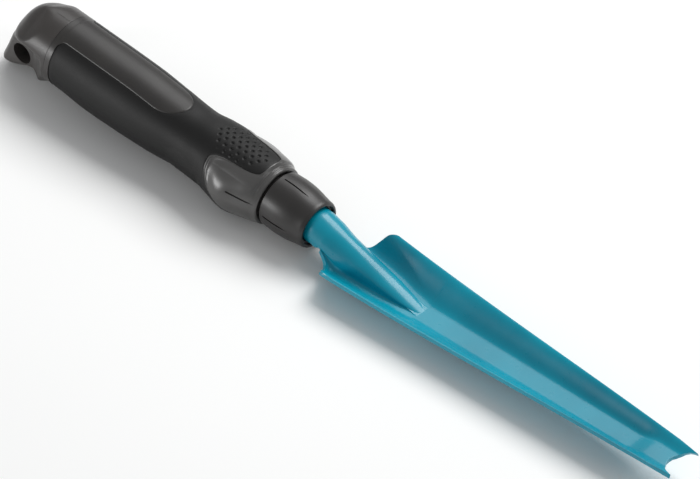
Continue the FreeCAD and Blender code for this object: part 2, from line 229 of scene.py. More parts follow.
@dataclass(frozen=True)
class PowderCoat(Finish):
    """Baked powder coat on sheet steel: a saturated, glossy skin with a faint orange peel."""

    name: str = "powder_coat_turquoise"
    tint: str = "#0093AA"
    shade: str = "#00859C"
    roughness: float = 0.30
    peel_mm: float = 3.0
    peel_depth_mm: float = 0.020
    drift_mm: float = 30.0

    def make(self) -> bpy.types.Material:
        """Build the material.

        Returns:
            The node material.
        """
        material, tree, place = self.start()
        colour = self.clouded(tree, place, {"Scale": 1 / (self.drift_mm * MM), "Detail": 2.0}, 0.35, 0.65)[1]
        peel = add_node(tree, "ShaderNodeTexNoise", {"Scale": 1 / (self.peel_mm * MM), "Detail": 2.0},
                        {"Vector": place}).outputs["Fac"]
        polish = add_node(tree, "ShaderNodeMapRange",
                          {"From Min": 0.3, "From Max": 0.7, "To Min": self.roughness - 0.03,
                           "To Max": self.roughness + 0.05}, {"Value": peel})
        bump = add_node(tree, "ShaderNodeBump", {"Strength": 0.06, "Distance": self.peel_depth_mm * MM},
                        {"Height": peel})
        self.close(tree, {"IOR": 1.52, "Specular IOR Level": 0.32, "Coat Weight": 0.22,
                          "Coat Roughness": 0.06, "Coat IOR": 1.5},
                   {"Base Color": colour, "Roughness": polish.outputs["Result"],
                    "Normal": bump.outputs["Normal"]})
        return material


@dataclass(frozen=True)
class PlatedSteel(Finish):
    """Zinc-plated steel: a grey metal with a fine drawn grain and a patchy, slightly dull passivate."""

    name: str = "zinc_plated_steel"
    tint: str = "#B9BBBC"
    shade: str = "#96989A"
    roughness: float = 0.34
    grain_mm: float = 0.35

    def make(self) -> bpy.types.Material:
        """Build the material.

        Returns:
            The node material.
        """
        material, tree, place = self.start()
        drawn = add_node(tree, "ShaderNodeMapping", {"Scale": (0.08, 1.0, 1.0)}, {"Vector": place})
        grain, colour = self.clouded(tree, drawn.outputs["Vector"],
                                     {"Scale": 1 / (self.grain_mm * MM), "Detail": 3.0})
        polish = add_node(tree, "ShaderNodeMapRange",
                          {"From Min": 0.3, "From Max": 0.7, "To Min": self.roughness - 0.06,
                           "To Max": self.roughness + 0.10}, {"Value": grain})
        self.close(tree, {"Metallic": 1.0}, {"Base Color": colour, "Roughness": polish.outputs["Result"]})
        return material


@dataclass(frozen=True)
class Seamless(Finish):
    """Matt studio sweep, faintly uneven as painted board is."""

    name: str = "matt_studio_board"
    tint: str = "#FBFBFA"
    shade: str = "#F6F6F5"

    def make(self) -> bpy.types.Material:
        """Build the material.

        Returns:
            The node material.
        """
        material, tree, place = self.start()
        colour = self.clouded(tree, place, {"Scale": 3.0})[1]
        self.close(tree, {"Roughness": 0.9}, {"Base Color": colour})
        return material


@dataclass
class Finishes:
    """All finishes of the tool, each made once."""

    # warm grey with a low, even lustre, as a hard pommel has
    cap: Moulded = Moulded("polypropylene_moulded_grey", "#3C3937", "#363332", 0.36, 0.40, 0.004)
    # lighter and smoother: the highlights stay sharp on the lobes; the lighter tint is partly the guard's own
    # grey and partly painted light, raised for the light that falls on the guard
    guard: Moulded = Moulded("abs_satin_moulded_grey", "#504F4E", "#494847", 0.28, 1.20, 0.0, coat=0.10,
                             polish_spread=0.005)
    # a shade darker than the cap, with the same lustre
    inlay: Moulded = Moulded("polypropylene_inlay_grey", "#2F2D2B", "#2A2827", 0.38, 0.40, 0.004)
    # near black, and dull enough to show no clear reflection
    soft: Moulded = Moulded("elastomer_moulded_black", "#0D0C0C", "#090908", 0.54, 0.38, 0.010, gloss=0.36)
    # dark and slightly waxy
    collar: Moulded = Moulded("nylon_moulded_grey", "#2D2B2A", "#272524", 0.38, 0.42, 0.008)
    ring: Moulded = Moulded("acetal_turned_grey", "#3A3836", "#302E2D", 0.36, 0.30, 0.004)
    # glass fibre at the surface takes the gloss away
    clamp: Moulded = Moulded("nylon_glass_filled_black", "#161616", "#101010", 0.50, 0.40, 0.012)
    coat: PowderCoat = PowderCoat()
    steel: PlatedSteel = PlatedSteel()
    board: Seamless = Seamless()
    made: dict = field(default_factory=dict)

    def get(self, finish: Finish) -> bpy.types.Material:
        """Give the material of a finish, made on first use.

        Args:
            finish: One of the finishes above.

        Returns:
            Its material.
        """
        if finish.name not in self.made:
            self.made[finish.name] = finish.make()
        return self.made[finish.name]


# ---------------------------------------------------------------- bench: modelling
def smooth_step(value: np.ndarray | float) -> np.ndarray:
    """Ease a value from 0 to 1."""
    t = np.clip(value, 0.0, 1.0)
    return t * t * (3 - 2 * t)


def quarter_round(share: np.ndarray) -> np.ndarray:
    """Height of a quarter-round edge: 0 at its rim, 1 from its full width on."""
    return np.sqrt(np.clip(1 - (1 - share) ** 2, 0, 1))


def run_along(line: np.ndarray) -> np.ndarray:
    """Distance of each point of a line from its first, along the line."""
    return np.concatenate([[0.0], np.cumsum(np.hypot(*np.diff(line, axis=0).T))])


def ruled(*spans: tuple[float, float, float]) -> np.ndarray:
    """Places along the axis, from spans of start, end and step."""
    return np.concatenate([np.arange(*span) for span in spans])


def flow(knots: Sequence[float], values: Sequence[float], at: np.ndarray) -> np.ndarray:
    """Run a smooth curve through values without overshoot.

    Args:
        knots: Rising places of the values.
        values: One value for each knot.
        at: Places to read.

    Returns:
        The curve's values there.
    """
    x = np.asarray(knots, float)
    y = np.asarray(values, float)
    run = np.diff(x)
    slope = np.diff(y) / run
    tangent = np.zeros_like(y)
    same = slope[:-1] * slope[1:] > 0
    mean = 2 * slope[:-1] * slope[1:] / np.where(same, slope[:-1] + slope[1:], 1.0)
    tangent[1:-1] = np.where(same, mean, 0.0)
    at = np.clip(at, x[0], x[-1])
    index = np.clip(np.searchsorted(x, at, side="right") - 1, 0, len(run) - 1)
    t = (at - x[index]) / run[index]
    rise = y[index] * (2 * t ** 3 - 3 * t ** 2 + 1) + y[index + 1] * (3 * t ** 2 - 2 * t ** 3)
    lean = tangent[index] * (t ** 3 - 2 * t ** 2 + t) + tangent[index + 1] * (t ** 3 - t ** 2)
    return rise + lean * run[index]


class Bench:
    """The maker's bench: pieces are shaped on the handle's axis in millimetres, then laid down."""

    GROOVE_HALF = 0.32
    GROOVE_ROUND = 0.22

    def __init__(self) -> None:
        """Read where the handle's axis lies from the collar's hinge."""
        hinge = next(j for j in frame["joints"] if j["name"] == "collar_turn")
        along = Vector(hinge["axis"]).normalized()
        across = Vector((0.0, 1.0, 0.0))
        up = along.cross(across)
        turn = Matrix((along, across, up)).transposed().to_4x4()
        self.laid = Matrix.Translation(Vector(hinge["pos_m"])) @ turn @ Matrix.Scale(MM, 4)

    @staticmethod
    def clear() -> None:
        """Leave edit mode and deselect everything."""
        if bpy.context.object and bpy.context.object.mode != "OBJECT":
            bpy.ops.object.mode_set(mode="OBJECT")
        bpy.ops.object.select_all(action="DESELECT")

    @staticmethod
    def activate(piece: bpy.types.Object) -> None:
        """Select one piece alone and make it active."""
        Bench.clear()
        piece.select_set(True)
        bpy.context.view_layer.objects.active = piece

    @staticmethod
    def edit_all() -> None:
        """Enter edit mode with everything selected."""
        bpy.ops.object.mode_set(mode="EDIT")
        bpy.ops.mesh.select_all(action="SELECT")

    @staticmethod
    def named(name: str) -> bpy.types.Object:
        """Name the primitive just added, and its mesh."""
        piece = bpy.context.object
        piece.name = piece.data.name = name
        return piece

    def tidy(self, piece: bpy.types.Object, gap: float = 0.002) -> None:
        """Merge doubles and face the mesh outwards.

        Args:
            piece: Piece to clean.
            gap: Points nearer than this, in millimetres, become one.
        """
        self.activate(piece)
        self.edit_all()
        bpy.ops.mesh.remove_doubles(threshold=gap)
        bpy.ops.mesh.dissolve_degenerate(threshold=gap / 2)
        bpy.ops.mesh.select_all(action="SELECT")
        bpy.ops.mesh.normals_make_consistent(inside=False)
        bpy.ops.object.mode_set(mode="OBJECT")

    def sheet(self, name: str, points: np.ndarray) -> bpy.types.Object:
        """Wrap a grid primitive over a net of points.

        Args:
            name: Piece name.
            points: Array of rows, columns and three coordinates.

        Returns:
            The piece, one quad for each cell of the net.
        """
        rows, columns = points.shape[:2]
        self.clear()
        bpy.ops.mesh.primitive_grid_add(x_subdivisions=rows - 1, y_subdivisions=columns - 1, size=2.0)
        piece = self.named(name)
        flat = np.zeros(len(piece.data.vertices) * 3)
        piece.data.vertices.foreach_get("co", flat)
        flat = flat.reshape(-1, 3)
        row = np.rint((flat[:, 0] + 1) / 2 * (rows - 1)).astype(int)
        column = np.rint((flat[:, 1] + 1) / 2 * (columns - 1)).astype(int)
        piece.data.vertices.foreach_set("co", points[row, column].reshape(-1))
        piece.data.update()
        return piece

    def spun(self, name: str, outline: Sequence[tuple[float, float]], steps: int = 144) -> bpy.types.Object:
        """Spin a closed outline of (x, radius) points about the handle's axis.

        Args:
            name: Piece name.
            outline: Corners of the outline, in order.
            steps: Number of steps round the axis.

        Returns:
            The closed ring.
        """
        self.clear()
        bpy.ops.mesh.primitive_circle_add(vertices=len(outline), radius=1.0, fill_type="NOTHING")
        piece = self.named(name)
        for vertex, (x, radius) in zip(piece.data.vertices, outline):
            vertex.co = (x, 0.0, radius)
        self.edit_all()
        bpy.ops.mesh.spin(steps=steps, angle=math.radians(FULL_TURN), center=(0, 0, 0), axis=(1, 0, 0))
        bpy.ops.object.mode_set(mode="OBJECT")
        self.tidy(piece)
        return piece

    def bar(self, name: str, low: Sequence[float], high: Sequence[float], round_by: float = 0.0,
            turn: float = 0.0) -> bpy.types.Object:
        """Make a rounded bar between two corners, turned about the handle's axis.

        Args:
            name: Piece name.
            low: Lowest corner.
            high: Highest corner.
            round_by: Radius of its edges.
            turn: Turn about the axis, in degrees.

        Returns:
            The bar.
        """
        self.clear()
        centre = [(a + b) / 2 for a, b in zip(low, high)]
        size = [b - a for a, b in zip(low, high)]
        bpy.ops.mesh.primitive_cube_add(size=1.0, location=centre, scale=size)
        bar = self.named(name)
        bpy.ops.object.transform_apply(location=True, rotation=True, scale=True)
        if round_by:
            self.edit_all()
            bpy.ops.mesh.bevel(offset=round_by, segments=4, affect="EDGES")
            bpy.ops.object.mode_set(mode="OBJECT")
        bar.data.transform(Matrix.Rotation(math.radians(turn), 4, "X"))
        return bar

    def cut(self, piece: bpy.types.Object, cutter: bpy.types.Object) -> None:
        """Take a cutter's shape away from a piece, and use the cutter up.

        Args:
            piece: Piece to cut.
            cutter: Closed mesh.
        """
        self.activate(piece)
        modifier = piece.modifiers.new("cut", "BOOLEAN")
        modifier.operation = "DIFFERENCE"
        modifier.solver = "EXACT"
        modifier.object = cutter
        bpy.ops.object.modifier_apply(modifier=modifier.name)
        bpy.data.objects.remove(cutter)

    def groove(self, piece: bpy.types.Object, low: Sequence[float], high: Sequence[float],
               tilt: float, lift: float, turn: float) -> None:
        """Cut one fine groove.

        Args:
            piece: Piece to cut.
            low: Lowest corner of the cutter on the axis.
            high: Highest corner.
            tilt: Turn that brings it along the surface, in degrees.
            lift: How far it is then raised.
            turn: Turn about the axis from the top, in degrees.
        """
        cutter = self.bar("groove", low, high, self.GROOVE_ROUND)
        cutter.data.transform(Matrix.Rotation(math.radians(tilt), 4, "Y"))
        cutter.data.transform(Matrix.Translation((0.0, 0.0, lift)))
        cutter.data.transform(Matrix.Rotation(math.radians(turn), 4, "X"))
        self.cut(piece, cutter)

    def soften(self, piece: bpy.types.Object, width: float, angle: float = 35.0, segments: int = 3) -> None:
        """Round all sharp edges of a piece.

        Args:
            piece: Piece to soften.
            width: Width of the rounding, in millimetres.
            angle: Edges sharper than this many degrees are rounded.
            segments: Faces across the rounding.
        """
        self.activate(piece)
        modifier = piece.modifiers.new("soften", "BEVEL")
        modifier.width = width
        modifier.segments = segments
        modifier.limit_method = "ANGLE"
        modifier.angle_limit = math.radians(angle)
        modifier.use_clamp_overlap = True
        bpy.ops.object.modifier_apply(modifier=modifier.name)

    def finish(self, piece: bpy.types.Object, body: Body, slot: str, material: bpy.types.Material,
               nodes: Sequence[str] = (), angle: float = 40.0) -> bpy.types.Object:
        """Shade a piece, dress it, lay it down and give it to its body.

        Args:
            piece: Finished mesh on the handle's axis.
            body: Body that it rides on.
            slot: The record's material slot; not used.
            material: Its finish.
            nodes: CAD nodes that it stands for.
            angle: Edges sharper than this many degrees stay sharp.

        Returns:
            The same piece.
        """
        self.activate(piece)
        bpy.ops.object.shade_smooth_by_angle(angle=math.radians(angle))
        piece.data.transform(self.laid)
        piece.data.materials.clear()
        piece.data.materials.append(material)
        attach(piece, body.value)
        if nodes:
            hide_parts(*nodes)
        LOG.info("%s: %d faces on %s", piece.name, len(piece.data.polygons), body.value)
        return piece


# ---------------------------------------------------------------- grip
class GripForm:
    """The grip's outline as a smooth function of place along the axis and turn from the top."""

    def __init__(self) -> None:
        """Keep the stations as columns."""
        table = np.array(GRIP_STATIONS)
        self.x = table[:, 0]
        self.reach = table[:, 1:]

    def radius(self, x: np.ndarray, turn: np.ndarray) -> np.ndarray:
        """Distance from the axis to the skin.

        Args:
            x: Places along the axis.
            turn: Degrees from the top, either way round.

        Returns:
            Radius at each place.
        """
        turn = np.abs((np.asarray(turn, float) + 180) % FULL_TURN - 180)
        levels = [flow(self.x, self.reach[:, k], x) for k in range(len(STATION_TURNS))]
        rise = np.zeros(np.broadcast(x, turn).shape)
        for k in range(len(STATION_TURNS) - 1):
            low, high = STATION_TURNS[k], STATION_TURNS[k + 1]
            share = np.clip((turn - low) / (high - low), 0.0, 1.0)
            eased = share + 0.30 * (share * share * (3 - 2 * share) - share)
            inside = (turn >= low) & ((turn < high) | (k == len(STATION_TURNS) - 2))
            rise = np.where(inside, levels[k] + (levels[k + 1] - levels[k]) * eased, rise)
        return rise

    @staticmethod
    def point(x: np.ndarray, turn: np.ndarray, radius: np.ndarray) -> np.ndarray:
        """Points at a place, a turn from the top and a radius."""
        angle = np.radians(turn)
        return np.stack(np.broadcast_arrays(x, radius * np.sin(angle), radius * np.cos(angle)), -1)


class GuardBorder:
    """The rear border of the guard, drawn on the unrolled skin."""

    UNROLL_R = 14.5

    def __init__(self) -> None:
        """Draw the border as a fine line with even steps."""
        turns = np.array([p[0] for p in GUARD_BORDER])
        places = np.array([p[1] for p in GUARD_BORDER])
        arc = np.concatenate([[0.0], np.cumsum(np.hypot(np.diff(turns) * self.mm_per_degree(),
                                                        np.diff(places)))])
        even = np.linspace(0.0, arc[-1], 260)
        self.turn = flow(arc, turns, even)
        self.x = flow(arc, places, even)
        self.share = even / arc[-1]

    @classmethod
    def mm_per_degree(cls) -> float:
        """Millimetres round the skin for one degree."""
        return math.radians(1.0) * cls.UNROLL_R

    def distance(self, x: np.ndarray, turn: np.ndarray) -> np.ndarray:
        """Distance from the border, positive inside the guard.

        Args:
            x: Places along the axis.
            turn: Degrees from the top.

        Returns:
            Signed distance in millimetres.
        """
        side = np.abs((turn + 180) % FULL_TURN - 180)
        shape = np.broadcast(x, side).shape
        flat_x = np.broadcast_to(x, shape).reshape(-1)
        flat_turn = np.broadcast_to(side, shape).reshape(-1)
        nearest = np.full(flat_x.shape, 1e9)
        scale = self.mm_per_degree()
        for border_x, border_turn in zip(self.x, self.turn):
            gap = np.hypot(flat_x - border_x, (flat_turn - border_turn) * scale)
            nearest = np.minimum(nearest, gap)
        border_at = np.interp(flat_turn, self.turn, self.x)
        sign = np.where(flat_x > border_at, 1.0, -1.0)
        return (sign * nearest).reshape(shape)


@dataclass
class Grip:
    """The grip: soft skin, inlay and guard over the hard core."""

    bench: Bench
    looks: Finishes
    form: GripForm
    border: GuardBorder
    front_x: float = -0.5
    rear_x: float = -109.5
    seam_x: float = -112.0
    skin: float = 1.7
    inlay_half: float = 8.2
    inlay_straight_x: float = -60.0
    inlay_nose: float = 12.0
    flare: float = 3.4
    dimple_pitch_x: float = 3.4
    dimple_pitch_y: float = 2.3
    dimple_r: float = 0.78
    dimple_depth: float = 0.52
    pad_x: float = -19.4
    pad_half_x: float = 14.0
    pad_half_y: float = 8.4
    guard_bed: float = 0.55
    inlay_bed: float = 0.60
    seam_half: float = 0.35
    end_round: float = 0.35
    net_r: float = 14.2
    inlay_gap: float = 0.14
    inlay_proud: float = 0.10
    inlay_rim_drop: float = 0.40
    inlay_rim: float = 0.5
    inlay_thick: float = 1.2
    guard_proud: float = 0.14
    guard_rim_drop: float = 0.34
    guard_rim: float = 0.40
    guard_shell: float = 1.5
    scoop_depth: float = 0.26
    ledge_half: float = 0.34

    # raised ledges over the top of the guard: place along the axis and rise
    LEDGES = ((-3.5, 0.26), (-2.2, 0.22), (-1.2, 0.12))
    # distances from the guard's rim at which its net has a line
    RIM_LINES = (0.0, 0.08, 0.2, 0.35, 0.5, 0.65, 0.8, 0.95, 1.1, 1.3)

    def dimples(self, x: np.ndarray, across: np.ndarray) -> np.ndarray:
        """Depth of the thumb pad's staggered dimples.

        Args:
            x: Places along the axis.
            across: Distance across the pad from its middle.

        Returns:
            Depth in millimetres.
        """
        depth = np.zeros(x.shape)
        for row in range(-3, 4):
            shift = 0.5 * self.dimple_pitch_x * (row % 2)
            for column in range(8):
                centre_x = -31.4 + column * self.dimple_pitch_x + shift
                centre_y = row * self.dimple_pitch_y * 0.98
                out = ((centre_x - self.pad_x) / self.pad_half_x) ** 2 + (centre_y / self.pad_half_y) ** 2
                fade = float(smooth_step((1.05 - out) / 0.45))
                if fade <= 0.05:
                    continue
                gap = np.hypot(x - centre_x, across - centre_y) / self.dimple_r
                depth = np.maximum(depth, fade * self.dimple_depth * smooth_step((1.05 - gap) / 0.6))
        return depth

    def inlay_width(self, x: np.ndarray) -> np.ndarray:
        """Half-width of the inlay at x: an elliptic nose, and a flare into the hard band at the rear.

        Args:
            x: Places along the axis.

        Returns:
            Half-width in millimetres, zero past the nose.
        """
        past = np.clip((x - self.inlay_straight_x) / self.inlay_nose, 0.0, 1.0)
        near_band = np.clip((self.rear_x + self.flare - x) / self.flare, 0.0, 1.0)
        return self.inlay_half * np.sqrt(1 - past ** 2) + self.flare * (1 - np.sqrt(1 - near_band ** 2))

    def inlay_distance(self, x: np.ndarray, turn: np.ndarray, radius: np.ndarray) -> np.ndarray:
        """Rough distance inside the inlay's outline, in millimetres.

        Args:
            x: Places along the axis.
            turn: Degrees from the top.
            radius: Distance from the axis.

        Returns:
            Distance, negative outside.
        """
        across = np.abs(radius * np.sin(np.radians(turn)))
        above = np.cos(np.radians(turn)) > 0
        past = np.maximum(x - self.inlay_straight_x, 0.0)
        round_end = (1 - np.hypot(past / self.inlay_nose, across / self.inlay_half)) * self.inlay_half
        corner_x = self.rear_x + self.flare
        corner_y = self.inlay_half + self.flare
        corner = np.hypot(x - corner_x, across - corner_y) - self.flare
        in_corner = (x < corner_x) & (across < corner_y)
        return np.where(above, np.where(in_corner, np.maximum(corner, round_end), round_end), -20.0)

    def soft_skin(self) -> bpy.types.Object:
        """Mould the soft skin with its pad and dimples.

        Returns:
            The skin.
        """
        x = ruled((self.rear_x, -66.0, 1.2), (-66.0, -46.0, 0.5), (-46.0, -34.0, 0.8), (-34.0, -4.0, 0.24),
                  (-4.0, self.front_x + 0.01, 0.5))
        turn = ruled((-180, -46, 2.0), (-46, 46, 0.9), (46, 180.1, 2.0))
        grid_x, grid_turn = np.meshgrid(x, turn, indexing="ij")
        radius = self.form.radius(grid_x, grid_turn)
        under_guard = self.border.distance(grid_x, grid_turn)
        radius -= self.guard_bed * smooth_step((under_guard - 0.25) / 0.5)
        radius -= 0.16 * np.exp(-(np.minimum(under_guard, 0) / self.seam_half) ** 2)
        under_inlay = self.inlay_distance(grid_x, grid_turn, radius)
        radius -= self.inlay_bed * smooth_step((under_inlay - 0.3) / 0.6)
        radius -= 0.14 * np.exp(-(np.minimum(under_inlay, 0) / self.seam_half) ** 2)
        across = radius * np.sin(np.radians(grid_turn))
        on_top = np.cos(np.radians(grid_turn)) > 0.2
        radius -= np.where(on_top & (grid_x > -35), self.dimples(grid_x, across), 0.0)
        end = np.minimum(grid_x - self.rear_x, 1.2) / 1.2
        radius -= self.end_round * (1 - quarter_round(end))
        outer = GripForm.point(grid_x, grid_turn, radius)
        back = np.array([self.front_x, -20.0, -60.0, -90.0, self.rear_x])
        back_x, back_turn = np.meshgrid(back, turn, indexing="ij")
        inner = GripForm.point(back_x, back_turn, self.form.radius(back_x, back_turn) - self.skin)
        piece = self.bench.sheet("soft_grip_skin", np.concatenate([outer, inner, outer[:1]]))
        self.bench.tidy(piece, 0.01)
        return self.bench.finish(piece, Body.HANDLE, "soft_black", self.looks.get(self.looks.soft),
                                 ["soft_grip"], 60.0)

    def inlay(self) -> bpy.types.Object:
        """Mould the tongue-shaped inlay with its rounded rim.

        Returns:
            The inlay.
        """
        nose = self.inlay_straight_x + self.inlay_nose * np.sin(np.linspace(0, math.pi / 2, 48))
        corner = self.rear_x + self.flare * (1 - np.cos(np.linspace(0, math.pi / 2, 14)))
        x = np.concatenate([[self.seam_x + 0.15, self.rear_x - 1.2], corner,
                            np.arange(corner[-1] + 1.5, self.inlay_straight_x - 0.5, 1.5), nose])
        edge = np.array([0.0, 0.03, 0.1, 0.2, 0.32, 0.45, 0.6, 0.8, 1.2])
        width = np.maximum(self.inlay_width(x) - self.inlay_gap, 0.0)[:, None]
        inward = np.concatenate([np.minimum(edge, width * (i + 1) / 12) for i, edge in
                                 enumerate(edge.reshape(-1, 1, 1))], axis=1).reshape(len(x), -1)
        core = inward[:, -1:] + (width - inward[:, -1:]) * np.linspace(0, 1, 24)[1:]
        half = width - np.concatenate([inward, core], axis=1)
        across = np.concatenate([-half, half[:, -2::-1]], axis=1)
        turn = np.degrees(np.arcsin(np.clip(across / self.net_r, -1, 1)))
        grid_x = np.broadcast_to(x[:, None], across.shape)
        depth = np.minimum(self.inlay_distance(grid_x, turn, np.full(across.shape, self.net_r)),
                           width - np.abs(across))
        fall = self.inlay_rim_drop * (1 - quarter_round(np.clip(depth / self.inlay_rim, 0, 1)))
        on_grip = smooth_step((grid_x - self.rear_x) / 0.8)
        radius = self.form.radius(grid_x, turn) + 0.02 + (self.inlay_proud - fall) * on_grip
        outer = np.stack([grid_x, across, np.sqrt(np.maximum(radius ** 2 - across ** 2, 1.0))], -1)
        lower = self.form.radius(grid_x, turn) - self.inlay_thick
        inner = np.stack([grid_x, across, np.sqrt(np.maximum(lower ** 2 - across ** 2, 1.0))], -1)
        loop = np.concatenate([outer, inner[:, ::-1], outer[:, :1]], axis=1)
        lid = np.broadcast_to(loop[0].mean(0), loop[0].shape)
        tail = np.broadcast_to(loop[-1].mean(0), loop[-1].shape)
        piece = self.bench.sheet("top_inlay_tongue", np.concatenate([[lid], loop, [tail]]))
        self.bench.tidy(piece, 0.006)
        return self.bench.finish(piece, Body.HANDLE, "hard_grey", self.looks.get(self.looks.inlay),
                                 ["top_inlay"], 60.0)

    def guard(self) -> bpy.types.Object:
        """Mould the guard: two lobes joined over the front of the pad.

        Returns:
            The guard.
        """
        turn = np.concatenate([-self.border.turn[::-1], self.border.turn[1:]])
        rear = np.concatenate([self.border.x[::-1], self.border.x[1:]])
        front_turn = np.concatenate([-self.border.share[::-1], self.border.share[1:]]) * 180.0
        length = np.hypot(self.front_x - rear, (front_turn - turn) * self.border.mm_per_degree())
        rim = self.RIM_LINES
        step = [np.minimum(d / length, 0.30 * (i + 1) / len(rim)) for i, d in enumerate(rim)]
        last = step[-1]
        inward = [last + (1 - last) * t for t in np.linspace(0.0, 1.0, 70)[1:]]
        share = np.array(step + inward)
        grid_x = rear + (self.front_x - rear) * share
        grid_turn = turn + (front_turn - turn) * share
        depth = share * length
        radius = self.form.radius(grid_x, grid_turn) + self.guard_proud
        radius -= self.guard_rim_drop * (1 - quarter_round(np.minimum(depth / self.guard_rim, 1.0)))
        radius -= 0.16 * np.exp(-((depth - 0.95) / 0.20) ** 2)
        side = np.abs(grid_turn)
        scoop = smooth_step((side - 34) / 14) * smooth_step((96 - side) / 30)
        scoop_in = smooth_step((depth - 1.1) / 1.6)
        scoop_out = smooth_step((7.5 - depth) / 5.0)
        radius -= self.scoop_depth * scoop * scoop_in * scoop_out
        ledge_span = smooth_step((58 - side) / 16)
        for ledge_x, ledge_rise in self.LEDGES:
            radius += ledge_rise * ledge_span * np.exp(-((grid_x - ledge_x) / self.ledge_half) ** 2)
        end = np.clip((self.front_x - grid_x) / 0.5, 0.0, 1.0)
        radius -= self.end_round * (1 - quarter_round(end))
        outer = GripForm.point(grid_x, grid_turn, radius)
        back_x, back_turn = grid_x[::-12], grid_turn[::-12]
        inner = GripForm.point(back_x, back_turn, self.form.radius(back_x, back_turn) - self.guard_shell)
        piece = self.bench.sheet("shoulder_guard_shell", np.concatenate([outer, inner, outer[:1]]))
        self.bench.tidy(piece, 0.01)
        for side_turn in (76, -76):
            self.bench.groove(piece, (-14.2, -Bench.GROOVE_HALF, 0.0), (-1.6, Bench.GROOVE_HALF, 5.0),
                              11.5, 12.15, side_turn)
        return self.bench.finish(piece, Body.HANDLE, "guard_grey", self.looks.get(self.looks.guard),
                                 ["shoulder_guards"], 38.0)

    def build(self) -> None:
        """Build all pieces of the grip."""
        self.soft_skin()
        self.inlay()
        self.guard()


